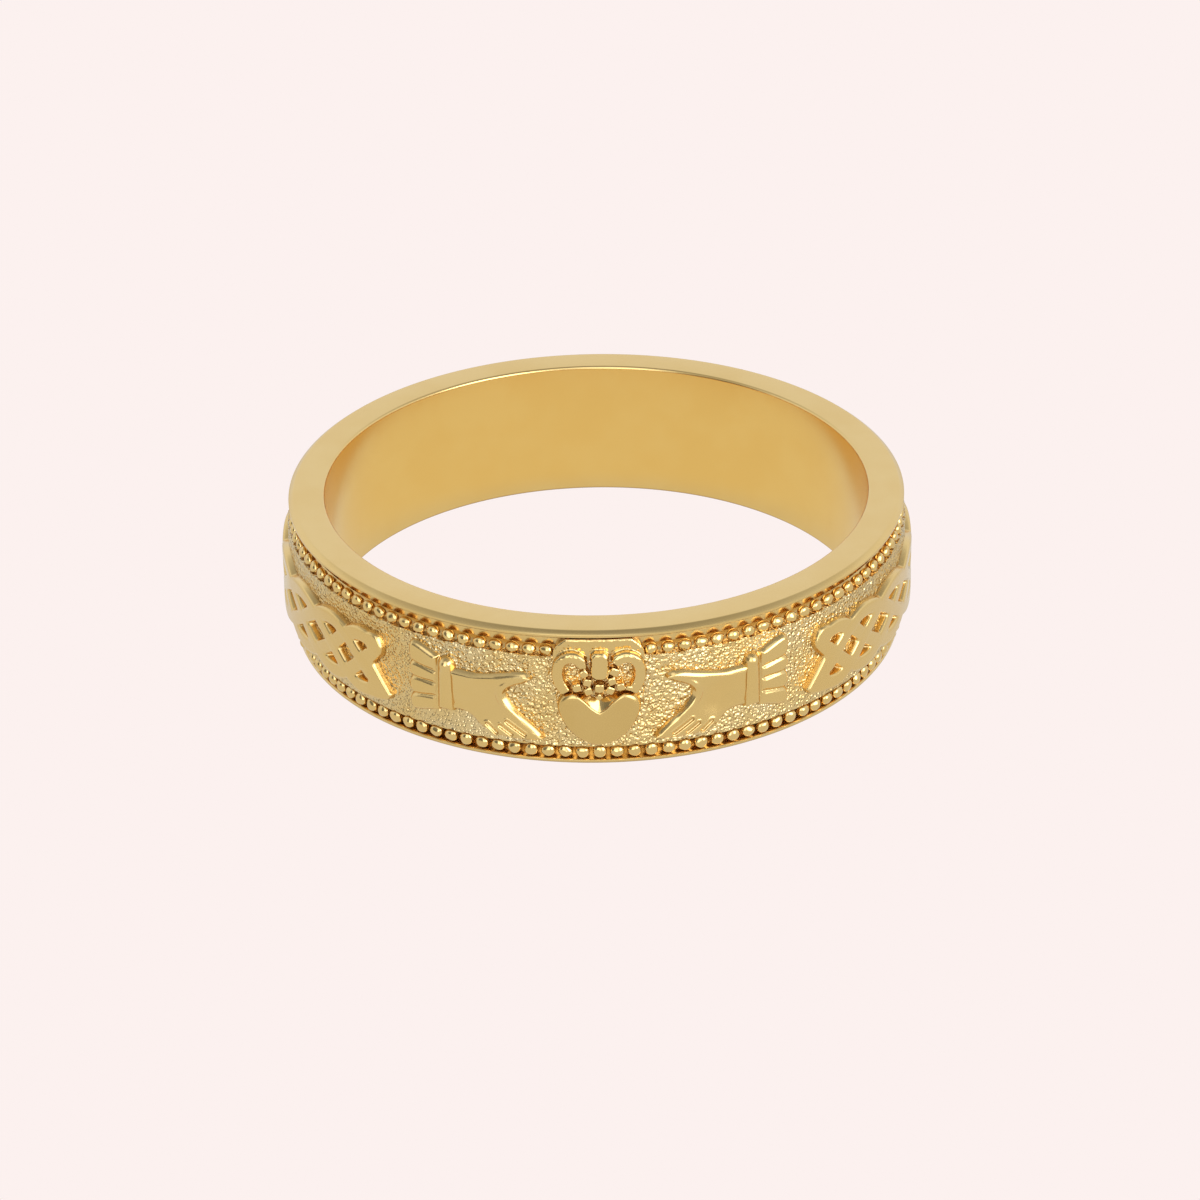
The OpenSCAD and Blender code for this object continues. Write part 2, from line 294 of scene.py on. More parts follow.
def sweep(name: str, section: Sequence[Point], path: Sequence[Vector]) -> bpy.types.Object:
    """Carry a flat section along a path on the bench, turning it with the path.

    Args:
        name: The new object's name.
        section: Pairs of sideways and upward distance from the path.
        path: The points of the path, close enough together to look smooth.

    Returns:
        The closed solid, in object mode.
    """
    headings = [
        math.atan2(b.y - a.y, b.x - a.x)
        for a, b in zip([path[0], *path[:-1]], [*path[1:], path[-1]])
    ]
    turned = headings[0]
    across = Vector((-math.sin(turned), math.cos(turned), 0))
    piece = draw_face(name, [path[0] + across * side + Vector((0, 0, up)) for side, up in section])
    for start, end, heading in zip(path, path[1:], headings[1:]):
        extrude(end - start)
        turn = math.remainder(heading - turned, 2 * math.pi)
        bpy.ops.transform.rotate(value=-turn, orient_axis="Z", center_override=end)
        turned = heading
    close_up()
    return piece


def even_section(half: float, top: float, edge: Sequence[Point], foot: Sequence[Point] = ()) -> list[Point]:
    """Section for a sweep, the same on both sides of its path.

    Args:
        half: Distance from the path from which the edge is measured.
        top: Height of its top.
        edge: Pairs of distance outwards and downwards, from the flat top to the wall.
        foot: Points of the right wall's foot.

    Returns:
        The section's points, from its left foot to its right one.
    """
    right = [(half + out, top - drop) for out, drop in edge] + list(foot)
    return [(-across, up) for across, up in reversed(right)] + right


def apply_modifier(piece: bpy.types.Object, kind: str, **settings: object) -> None:
    """Add a modifier, set it and apply it.

    Args:
        piece: The object to change.
        kind: Blender's name of the modifier's type.
        settings: The modifier's own settings.
    """
    hold(piece)
    bpy.ops.object.modifier_add(type=kind)
    modifier = piece.modifiers[-1]
    for key, value in settings.items():
        setattr(modifier, key, value)
    bpy.ops.object.modifier_apply(modifier=modifier.name)


def displace(piece: bpy.types.Object, name: str, size: float, **settings: object) -> None:
    """Push a piece's skin in and out by a soft noise of one octave, the same on every run.

    Args:
        piece: The object to change.
        name: Name of the noise texture.
        size: Size of the noise.
        settings: The Displace modifier's other settings.
    """
    texture = bpy.data.textures.new(name, "CLOUDS")
    texture.noise_scale = size
    texture.noise_depth = 0
    apply_modifier(piece, "DISPLACE", texture=texture, texture_coords="LOCAL", mid_level=0.5, **settings)


def join(name: str, parts: Sequence[bpy.types.Object]) -> bpy.types.Object:
    """Join several objects into one.

    Args:
        name: The joined object's name.
        parts: The objects, of which the first takes in the rest.

    Returns:
        The joined object.
    """
    hold(parts[0])
    for part in parts:
        part.select_set(True)
    bpy.ops.object.join()
    parts[0].name = name
    return parts[0]


def cut(piece: bpy.types.Object, tools: Sequence[bpy.types.Object]) -> None:
    """Take tools out of a piece and throw the tools away.

    Args:
        piece: The object that is cut.
        tools: Closed solids that mark what is cut out.
    """
    for tool in tools:
        apply_modifier(piece, "BOOLEAN", operation="DIFFERENCE", solver="EXACT", object=tool)
        hold(tool)
        bpy.ops.object.delete()


def cast_together(piece: bpy.types.Object, grain: float, rounds: int) -> None:
    """Melt a piece's overlapping solids into one skin and soften its edges as casting does.

    Args:
        piece: The object to change.
        grain: Size of the new mesh's faces.
        rounds: How many times the skin is smoothed.
    """
    apply_modifier(piece, "REMESH", mode="VOXEL", voxel_size=grain)
    apply_modifier(piece, "SMOOTH", factor=0.5, iterations=rounds)


def drag(push: Sequence[float], spread: float) -> None:
    """Move what is selected in the open mesh, and the skin around it less and less.

    Args:
        push: How far and which way it moves.
        spread: Distance over which the push fades.
    """
    bpy.ops.transform.translate(
        value=push, use_proportional_edit=True, proportional_edit_falloff="SMOOTH", proportional_size=spread
    )


def press(piece: bpy.types.Object, at: Vector, reach: float, push: float, spread: float) -> None:
    """Push the skin near a point up or down and let the push fade out around it.

    Args:
        piece: The object to change.
        at: Middle of the pushed spot.
        reach: Radius of the spot that moves all the way.
        push: How far it moves up.
        spread: Distance over which the push fades.
    """
    edit(piece)
    pick(piece, lambda place: (place - at).length < reach)
    drag((0, 0, push), spread)
    leave_edit()


def curve_point(start: Vector, leave: Vector, end: Vector, reach: Vector, t: float) -> Vector:
    """Point at share t of the curve that leaves its start and reaches its end in the given directions."""
    place = (2 * t**3 - 3 * t**2 + 1) * start + (t**3 - 2 * t**2 + t) * leave
    return place + (3 * t**2 - 2 * t**3) * end + (t**3 - t**2) * reach


def slope_at(rows: Sequence[Row], i: int, leaving: bool) -> Vector:
    """Direction of a closed outline where it leaves or reaches one of its rows.

    Args:
        rows: Rows of along, up and corner.
        i: The row's number.
        leaving: Whether the stretch after the row is meant.

    Returns:
        The direction, as long as the stretch.
    """
    before, here, after = (Vector(rows[(i + k) % len(rows)][:2]) for k in (-1, 0, 1))
    if not rows[i % len(rows)][2]:
        return (after - before) / 2
    return after - here if leaving else here - before


def curved(rows: Sequence[Row], width: float, height: float) -> list[Point]:
    """Points of a smooth closed outline through rows of along, up and corner.

    Args:
        rows: Shares of the width and height, with 1 in the third column at a corner.
        width: Length that the first column is a share of.
        height: Length that the second column is a share of.

    Returns:
        The outline's points.
    """
    points = []
    for i, row in enumerate(rows):
        start, end = Vector(row[:2]), Vector(rows[(i + 1) % len(rows)][:2])
        leave, reach = slope_at(rows, i, True), slope_at(rows, i + 1, False)
        for k in range(CURVE_STEPS):
            place = curve_point(start, leave, end, reach, k / CURVE_STEPS)
            points.append((place.x * width, place.y * height))
    return points


def open_curve(ends: Sequence[Vector], steps: int = 6) -> list[Vector]:
    """Points of a smooth open line on the bench.

    Args:
        ends: The points that it passes through.
        steps: Points in each stretch.

    Returns:
        The line's points.
    """
    points = []
    for i in range(len(ends) - 1):
        leave = (ends[i + 1] - ends[max(i - 1, 0)]) / 2
        reach = (ends[min(i + 2, len(ends) - 1)] - ends[i]) / 2
        for k in range(steps):
            points.append(curve_point(ends[i], leave, ends[i + 1], reach, k / steps))
    return [*points, ends[-1]]


def mirrored(half: Sequence[Row]) -> list[Row]:
    """Whole outline table from its right half.

    Args:
        half: Rows from the top middle down the right side to the bottom middle.

    Returns:
        Those rows and their mirror images.
    """
    return [*half, *((-x, y, corner) for x, y, corner in reversed(half) if x > 0)]


def arc(x: float, y: float, r: float, start: float, turn: float, steps: int) -> list[Point]:
    """Points of an arc.

    Args:
        x: First coordinate of its middle.
        y: Second coordinate of its middle.
        r: Its radius.
        start: Angle at which it starts, in radians.
        turn: How far it turns, in radians.
        steps: How many stretches it has.

    Returns:
        The arc's points, one more than its stretches.
    """
    angles = [start + turn * k / steps for k in range(steps + 1)]
    return [(x + r * math.cos(angle), y + r * math.sin(angle)) for angle in angles]


def shifted(corners: Sequence[Point], x: float, y: float) -> list[Point]:
    """Outline moved by x along the band and y across it."""
    return [(a + x, b + y) for a, b in corners]


@dataclass(frozen=True)
class GoldFinish:
    """One finish of the gold, with its own polish and texture.

    Attributes:
        name: Name of the material.
        colour: Base colour of the metal, linear.
        deep_colour: Base colour in the patches where the plating is thicker.
        roughness: Least roughness of the skin.
        haze: Roughness that the cloudy patches add.
        dent: Height of the fine waves in the polish, in millimetres.
        dent_size: Size of those waves, in millimetres.
        stipple: Height of the punched grains, in millimetres.
        stipple_size: Size of a grain, in millimetres.
    """

    name: str
    colour: Row
    deep_colour: Row
    roughness: float
    haze: float
    dent: float = 0.0
    dent_size: float = 0.5
    stipple: float = 0.0
    stipple_size: float = 0.09


CLOUD_SCALE = 420
# Painted shade: creases that see little of the sky within this reach are darkened towards this colour.
PAINTED_SHADE_REACH = 0.2 * MM
PAINTED_SHADE_COLOUR = (0.5, 0.32, 0.14)
GOLD = (0.83, 0.565, 0.215)
DEEP_GOLD = (0.82, 0.545, 0.195)
PALE_GOLD = (0.82, 0.61, 0.3)
POLISHED = GoldFinish("gold_polished", GOLD, DEEP_GOLD, 0.12, 0.04, 0.006, 0.2)
SATIN = GoldFinish("gold_satin", GOLD, DEEP_GOLD, 0.2, 0.03, 0.002, 0.9)
FIGURES = GoldFinish("gold_figures", GOLD, DEEP_GOLD, 0.2, 0.05, 0.003, 0.4)
# Painted shade: a darker copy of the gold for the heart, standing in for the shadowed floor that its dome
# reflects.
HEART_PAINTED_SHADE = GoldFinish("gold_heart_painted_shade", (0.77, 0.51, 0.18), (0.75, 0.49, 0.165), 0.19, 0.05, 0.003, 0.4)
CHASED = GoldFinish("gold_chased", GOLD, DEEP_GOLD, 0.12, 0.05, 0.035, 0.15)
STIPPLED = GoldFinish("gold_stippled", PALE_GOLD, GOLD, 0.16, 0.06, 0.004, 0.3, 0.05, 0.09)


def add_node(
    tree: bpy.types.NodeTree, kind: str, inputs: dict[str | int, object] | None = None, **settings: object
) -> bpy.types.Node:
    """Add a shader node, set it and feed its inputs.

    Args:
        tree: The node tree that it goes into.
        kind: Blender's name of the node after ShaderNode.
        inputs: Value or feeding socket of each input, by the input's name or number.
        settings: The node's own settings.

    Returns:
        The node.
    """
    node = tree.nodes.new(f"ShaderNode{kind}")
    for key, value in settings.items():
        setattr(node, key, value)
    for key, value in (inputs or {}).items():
        if isinstance(value, bpy.types.NodeSocket):
            tree.links.new(value, node.inputs[key])
        else:
            node.inputs[key].default_value = value
    return node


def add_ramp(
    tree: bpy.types.NodeTree, value: bpy.types.NodeSocket, start: float, end: float, full: float = 1.0
) -> bpy.types.NodeSocket:
    """Add a soft ramp from 0 up to a full value.

    Args:
        tree: The node tree that it goes into.
        value: What it follows.
        start: The value at which it gives 0.
        end: The value from which it gives all.
        full: What it gives there.

    Returns:
        Its result.
    """
    inputs = {"Value": value, "From Min": start, "From Max": end, "To Max": full}
    return add_node(tree, "MapRange", inputs, interpolation_type="SMOOTHSTEP").outputs["Result"]


def mix_colours(
    tree: bpy.types.NodeTree, factor: bpy.types.NodeSocket, first: object, second: object
) -> bpy.types.NodeSocket:
    """Add a blend of two colours, each a value or a feeding socket, and return its result."""
    blend = add_node(tree, "Mix", {"Factor": factor, "A": first, "B": second}, data_type="RGBA")
    return blend.outputs["Result"]


def new_group(
    name: str, inputs: dict[str, float | None], output: str
) -> tuple[bpy.types.NodeTree, bpy.types.NodeOutputs, bpy.types.NodeSocket]:
    """Make a shader node group with named sockets and nothing between them.

    Args:
        name: The group's name.
        inputs: Default of each input by its name, or None where it takes a place.
        output: Name of its one output, a number.

    Returns:
        The group's tree, the sockets that its inputs arrive at, and the one that its result goes to.
    """
    tree = bpy.data.node_groups.new(name, "ShaderNodeTree")
    for label, default in inputs.items():
        kind = "NodeSocketVector" if default is None else "NodeSocketFloat"
        socket = tree.interface.new_socket(label, in_out="INPUT", socket_type=kind)
        if default is not None:
            socket.default_value = default
    tree.interface.new_socket(output, in_out="OUTPUT", socket_type="NodeSocketFloat")
    return tree, tree.nodes.new("NodeGroupInput").outputs, tree.nodes.new("NodeGroupOutput").inputs[output]


@cache
def clouds_group() -> bpy.types.NodeTree:
    """Group that gives soft patches of 0 to 1 over the skin.

    Returns:
        The group, made once.
    """
    tree, given, result = new_group("cloudy_skin", {"Place": None, "Scale": 400}, "Patches")
    shape = {"Vector": given["Place"], "Scale": given["Scale"], "Detail": 3, "Roughness": 0.6}
    noise = add_node(tree, "TexNoise", shape)
    tree.links.new(add_ramp(tree, noise.outputs["Fac"], 0.35, 0.65), result)
    return tree


@cache
def painted_shade_group() -> bpy.types.NodeTree:
    """Group that gives 0 on open skin and up to 1 in creases that see little of the sky, the mask of the
    painted shade.

    Returns:
        The group, made once.
    """
    tree, given, result = new_group("painted_shade_mask", {"Reach": 0.0003}, "Depth")
    open_sky = add_node(tree, "AmbientOcclusion", {"Distance": given["Reach"]}, samples=4)
    tree.links.new(add_ramp(tree, open_sky.outputs["AO"], 0.75, 0.3), result)
    return tree


@cache
def relief_group() -> bpy.types.NodeTree:
    """Group that gives the height of the waves in the polish and of the punched grains.

    Returns:
        The group, made once.
    """
    inputs = {"Place": None, "Wave scale": 2000, "Wave height": 0, "Grain scale": 10000, "Grain height": 0}
    tree, given, result = new_group("metal_relief", inputs, "Height")
    wave = add_node(tree, "TexNoise", {"Vector": given["Place"], "Scale": given["Wave scale"], "Detail": 1})
    shape = {"Vector": given["Place"], "Scale": given["Grain scale"], "Smoothness": 0.4}
    grain = add_node(tree, "TexVoronoi", shape, feature="SMOOTH_F1")
    waves = add_node(tree, "Math", {0: wave.outputs["Fac"], 1: given["Wave height"]}, operation="MULTIPLY")
    terms = {0: grain.outputs["Distance"], 1: given["Grain height"], 2: waves.outputs[0]}
    tree.links.new(add_node(tree, "Math", terms, operation="MULTIPLY_ADD").outputs[0], result)
    return tree


@cache
def gold_material(finish: GoldFinish) -> bpy.types.Material:
    """Material of one finish, made once.

    Args:
        finish: The finish.

    Returns:
        The material.
    """
    material = bpy.data.materials.new(finish.name)
    material.use_nodes = True
    tree = material.node_tree
    place = add_node(tree, "TexCoord").outputs["Object"]
    clouds = add_node(tree, "Group", {"Place": place, "Scale": CLOUD_SCALE}, node_tree=clouds_group())
    crease_shade = add_node(tree, "Group", {"Reach": PAINTED_SHADE_REACH}, node_tree=painted_shade_group())
    patches = clouds.outputs["Patches"]
    tint = mix_colours(tree, patches, (*finish.colour, 1), (*finish.deep_colour, 1))
    # Painted shade: the base colour darkens in the creases by the occlusion mask.
    shade = mix_colours(tree, crease_shade.outputs["Depth"], tint, (*PAINTED_SHADE_COLOUR, 1))
    rough = {"To Min": finish.roughness, "To Max": finish.roughness + finish.haze}
    polish = add_node(tree, "MapRange", {"Value": patches, **rough})
    texture = {
        "Place": place,
        "Wave scale": 1 / (finish.dent_size * MM),
        "Wave height": finish.dent,
        "Grain scale": 1 / (finish.stipple_size * MM),
        "Grain height": finish.stipple,
    }
    relief = add_node(tree, "Group", texture, node_tree=relief_group())
    bump = add_node(tree, "Bump", {"Distance": MM, "Height": relief.outputs["Height"]})
    shader = tree.nodes["Principled BSDF"]
    shader.inputs["Metallic"].default_value = 1.0
    tree.links.new(shade, shader.inputs["Base Color"])
    tree.links.new(polish.outputs["Result"], shader.inputs["Roughness"])
    tree.links.new(bump.outputs["Normal"], shader.inputs["Normal"])
    return material


@dataclass
class SubAssembly:
    """A part of the ring that is built from its own sizes and then finished.

    Attributes:
        sizes: The ring's main sizes.
    """

    sizes: BandSizes

    def build(self) -> bpy.types.Object:
        """Model the piece. Each sub-assembly has its own way."""
        raise NotImplementedError

    def bend(self, piece: bpy.types.Object) -> None:
        """Bend a piece that was drawn flat round the finger axis, still in millimetres.

        Args:
            piece: The object on the bench.
        """
        s = self.sizes
        hold(piece)
        piece.location.z = s.ground_r - s.arc_r
        settle()
        piece.rotation_euler.x = math.pi / 2
        settle()
        places = [vertex.co.x for vertex in piece.data.vertices]
        angle = (max(places) - min(places)) / s.arc_r
        apply_modifier(piece, "SIMPLE_DEFORM", deform_method="BEND", deform_axis="Z", angle=angle)
        piece.location.y = -s.arc_r
        settle()

    def to_metres(self, piece: bpy.types.Object) -> None:
        """Bring a finished piece from millimetres to metres.

        Args:
            piece: The object.
        """
        hold(piece)
        piece.scale = (MM, MM, MM)
        settle()

    def wrap(self, piece: bpy.types.Object) -> None:
        """Wrap a piece round the band and bring it to metres."""
        self.bend(piece)
        self.to_metres(piece)

    def dress(self, piece: bpy.types.Object, finish: GoldFinish, crease: float = 60.0) -> bpy.types.Object:
        """Smooth a piece's faces, give it its finish and fix it to the frame.

        Args:
            piece: The finished object.
            finish: Its finish.
            crease: Edges sharper than this angle in degrees stay sharp.

        Returns:
            The piece.
        """
        hold(piece)
        bpy.ops.object.shade_smooth_by_angle(angle=math.radians(crease))
        piece.data.materials.clear()
        piece.data.materials.append(gold_material(finish))
        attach(piece, "root")
        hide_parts("ring")
        return piece


@dataclass
class Band(SubAssembly):
    """The plain band: finger hole, flat sides, rims and the two grooves.

    Each groove has a bed for its beads, and a ledge between the two carries the ground.
    """

    bore_edge_r: float = 0.09
    rim_edge_r: float = 0.1
    corner_steps: int = 6
    lip: float = 0.03
    bed_rise: float = 0.02
    ledge_depth: float = 0.14
    # Where the lower bed ends above the lower rim, and the upper one above the ground.
    bed_end: Point = (0.22, 0.25)
    # How far the ledge reaches past the ground, below and above.
    ledge_past: Point = (0.13, 0.08)
    # Distances in from the upper rim and down from the flat side.
    bevel: tuple[Point, ...] = ((0, 0.115), (0.015, 0.1), (0.13, 0.01), (0.16, 0), (0.19, 0))
    steps: int = 480

    def _corner(self, radius: float, height: float, r: float, start: float) -> list[Point]:
        """Points of one rounded corner of the section, from its middle, its rounding and its first angle."""
        return arc(radius, height, r, start, math.pi / 2, self.corner_steps)

    def _section(self) -> list[Point]:
        """Section of the band, anticlockwise from its lower outer corner.

        Returns:
            Its points, each a radius and a height.
        """
        s = self.sizes
        top, lip = s.band_w, self.lip
        lower_r, upper_r = s.ground_r - s.lower_rim_drop, s.ground_r - s.upper_rim_drop
        near, far = s.lower_rim_w, top - s.upper_rim_w
        bed, ledge = s.groove_r + self.bed_rise, s.ground_r - self.ledge_depth
        section = self._corner(lower_r - self.rim_edge_r, self.rim_edge_r, self.rim_edge_r, -math.pi / 2)
        section += [(lower_r, near - lip), (lower_r - lip, near), (s.groove_r, near + lip)]
        section += [(bed, near + self.bed_end[0]), (ledge, s.ground_y[0] - self.ledge_past[0])]
        section += [(ledge, s.ground_y[1] + self.ledge_past[1]), (bed, s.ground_y[1] + self.bed_end[1])]
        section += [(s.groove_r, far - lip), (upper_r - lip, far), (upper_r, far + lip)]
        section += [(upper_r - inward, top - down) for inward, down in self.bevel]
        r = self.bore_edge_r
        section += self._corner(s.bore_r + r, top - r, r, math.pi / 2)
        section += self._corner(s.bore_r + r, r, r, math.pi)
        return section

    def build(self) -> bpy.types.Object:
        """Spin the section once round the finger axis.

        Returns:
            The dressed band.
        """
        piece = draw_face("band", [Vector((radius, 0, height)) for radius, height in self._section()])
        select_all()
        bpy.ops.mesh.delete(type="ONLY_FACE")
        select_all()
        bpy.ops.mesh.spin(steps=self.steps, angle=2 * math.pi, center=(0, 0, 0), axis=(0, 0, 1))
        close_up()
        self.to_metres(piece)
        return self.dress(piece, SATIN, crease=40)


@dataclass
class Ground(SubAssembly):
    """The stippled ground between the two rows of beads.

    Its grains have their full depth up to full_l from the heart's middle and fade over fade_l to
    far_depth, and in a worn spot down to worn_depth. Depths are shares of the full one. The ring closes
    where points at the back are less than seam apart.
    """

    rows: int = 56
    steps: int = 1400
    grain: float = 0.1
    grain_h: float = 0.095
    wall: float = 0.25
    seam: float = 1e-3
    full_l: float = 3.0
    fade_l: float = 2.5
    far_depth: float = 0.5
    worn_depth: float = 0.15
    # Worn spots: distance along the band, height across it, and reach.
    worn: tuple[Row, ...] = (
        (-4.6, 1.0, 1.9), (-3.6, 0.9, 1.3), (-6.2, 1.6, 1.2), (-8.4, 3.4, 1.3), (-9.6, 3.4, 1.3),
        (6.8, 1.3, 0.9), (6.7, 2.7, 0.7), (-6.7, 2.7, 0.7),
    )

    def build(self) -> bpy.types.Object:
        """Model the ground as a thin ring and punch its grains.

        Returns:
            The dressed ground.
        """
        s = self.sizes
        low, high = s.ground_y
        deselect_all()
        bpy.ops.mesh.primitive_grid_add(x_subdivisions=self.steps, y_subdivisions=self.rows, size=1)
        piece = bpy.context.object
        piece.name = "ground"
        piece.scale = (2 * s.half_turn, high - low, 1)
        piece.location = (0, (low + high) / 2, 0)
        settle()
        punched = piece.vertex_groups.new(name="punched")
        for vertex in piece.data.vertices:
            punched.add([vertex.index], self._depth_at(vertex.co), "REPLACE")
        self.bend(piece)
        edit(piece)
        select_all()
        bpy.ops.mesh.remove_doubles(threshold=self.seam)
        leave_edit()
        displace(piece, "punched_grains", self.grain, strength=self.grain_h, vertex_group="punched")
        edit(piece)
        bpy.ops.mesh.select_all(action="DESELECT")
        bpy.ops.mesh.select_non_manifold()
        shrink = 1 - self.wall / s.ground_r
        bpy.ops.mesh.extrude_region_move()
        bpy.ops.transform.resize(value=(shrink, shrink, 1), center_override=(0, 0, 0))
        bpy.ops.mesh.bridge_edge_loops()
        close_up()
        self.to_metres(piece)
        return self.dress(piece, STIPPLED, crease=80)

    def _depth_at(self, place: Vector) -> float:
        """How deep the grains are at a place on the bench.

        Args:
            place: The place.

        Returns:
            Their depth as a share of the full one.
        """
        away = min(max((abs(place.x) - self.full_l) / self.fade_l, 0), 1)
        depth = 1 - (1 - self.far_depth) * away
        for x, y, reach in self.worn:
            from_spot = (place.to_2d() - Vector((x, y))).length
            depth = min(depth, max(from_spot / reach, self.worn_depth))
        return depth


@dataclass
class BeadRow(SubAssembly):
    """One row of beads in its groove, without those nearer to the heart's middle than clear."""

    edge: Edge = Edge.LOWER
    clear: float = 0.0
    bead_d: float = 0.44
    bead_h: float = 0.3
    bead_gap: float = 0.08
    bead_drop: float = 0.02
    squeeze: float = 0.96
    sides: int = 18
    rings: int = 11
    wobble: float = 0.05
    wobble_size: float = 0.22

    def build(self) -> bpy.types.Object:
        """Model one bead, repeat it along the band and wrap the row.

        Returns:
            The dressed row.
        """
        s = self.sizes
        centre_r = s.ground_r - self.bead_drop - self.bead_h / 2
        count = math.floor(2 * math.pi * centre_r / (self.bead_d + self.bead_gap))
        pitch = 2 * s.half_turn / count
        skipped = math.floor(self.clear / pitch) + 1 if self.clear else 0
        copies = count - 2 * skipped + (1 if skipped else 0)
        across = s.bead_y[0] if self.edge is Edge.LOWER else s.bead_y[1]
        deselect_all()
        bpy.ops.mesh.primitive_uv_sphere_add(
            segments=self.sides,
            ring_count=self.rings,
            radius=self.bead_d / 2,
            location=(skipped * pitch, across, centre_r - s.ground_r),
        )
        row = bpy.context.object
        row.name = f"beads_{self.edge.value}"
        row.scale = (s.arc_r / centre_r, self.squeeze, self.bead_h / self.bead_d)
        settle()
        apply_modifier(
            row,
            "ARRAY",
            count=copies,
            use_relative_offset=False,
            use_constant_offset=True,
            constant_offset_displace=(pitch, 0, 0),
        )
        displace(row, f"bead_wobble_{self.edge.value}", self.wobble_size, strength=self.wobble)
        self.wrap(row)
        return self.dress(row, POLISHED)


@dataclass
class Heart(SubAssembly):
    """The domed heart with its sloped notch.

    Its loops shrink towards a point at middle_share of its height. A vertex that is less than near
    away from a place counts as being there.
    """

    width: float = 2.56
    height: float = 1.85
    middle_share: float = 0.46
    wall_h: float = 0.06
    wall_share: float = 0.99
    notch_spread: float = 0.95
    near: float = 0.02
    # Rise, share of the size before, and how far the notch is drawn towards the tip.
    shoulder: tuple[Row, ...] = ((0.09, 0.98, 0.12), (0.08, 0.97, 0.11), (0.03, 0.97, 0.05))
    outline: tuple[Row, ...] = (
        (0, 0.82, 1), (0.17, 0.88, 0), (0.38, 0.955, 0), (0.63, 1, 0), (0.88, 0.93, 0), (1, 0.76, 0),
        (0.94, 0.54, 0), (0.72, 0.28, 0), (0.38, 0.08, 0), (0, 0, 0),
    )
    # Share of the shoulder's size, and rise above the shoulder.
    dome: tuple[Point, ...] = (
        (0.97, 0.018), (0.93, 0.03), (0.87, 0.038), (0.78, 0.045), (0.65, 0.051), (0.5, 0.055),
        (0.35, 0.058), (0.2, 0.06), (0.08, 0.061),
    )

    @property
    def middle(self) -> Vector:
        """Point towards which the loops shrink."""
        return Vector((0, self.sizes.figure_y + self.height * self.middle_share, 0))

    def build(self) -> bpy.types.Object:
        """Raise the heart's outline, slope its notch and close it with a low dome.

        Returns:
            The dressed heart.
        """
        s = self.sizes
        corners = shifted(curved(mirrored(self.outline), self.width / 2, self.height), 0, s.figure_y)
        heart = draw_face("heart", [Vector((x, y, -s.root)) for x, y in corners])
        face_up(heart)
        self._raise(s.root, 1)
        self._raise(self.wall_h, self.wall_share)
        height = self.wall_h
        for rise, share, drop in self.shoulder:
            self._raise(rise, share)
            height += rise
            self._lower_notch(heart, height, drop)
        scale, height = 1.0, 0.0
        for share, rise in self.dome:
            self._raise(rise - height, share / scale)
            scale, height = share, rise
        close_up()
        self.wrap(heart)
        # The heart wears the darker copy of the gold, which paints shade on it.
        return self.dress(heart, HEART_PAINTED_SHADE, crease=28)

    def _raise(self, rise: float, scale: float) -> None:
        """Extrude the top face by a rise and scale it towards the middle of the heart."""
        extrude((0, 0, rise))
        bpy.ops.transform.resize(value=(scale, scale, 1), center_override=self.middle)

    def _lower_notch(self, heart: bpy.types.Object, top: float, drop: float) -> None:
        """Draw the top loop down at the notch, so that the wall there becomes a wide slope.

        Args:
            heart: The heart, open in edit mode with its top face selected.
            top: Height of the top loop.
            drop: How far the notch moves towards the tip.
        """
        mesh = bmesh.from_edit_mesh(heart.data)
        loop = [vertex.co for vertex in mesh.verts if vertex.select]
        notch_y = min(place.y for place in loop if abs(place.x) < self.near and place.y > self.middle.y)
        bpy.ops.mesh.hide(unselected=True)
        pick(heart, lambda place: abs(place.x) < self.near and abs(place.y - notch_y) < self.near)
        drag((0, -drop, 0), self.notch_spread)
        bpy.ops.mesh.reveal(select=False)
        pick(heart, lambda place: place.z > top - self.near)


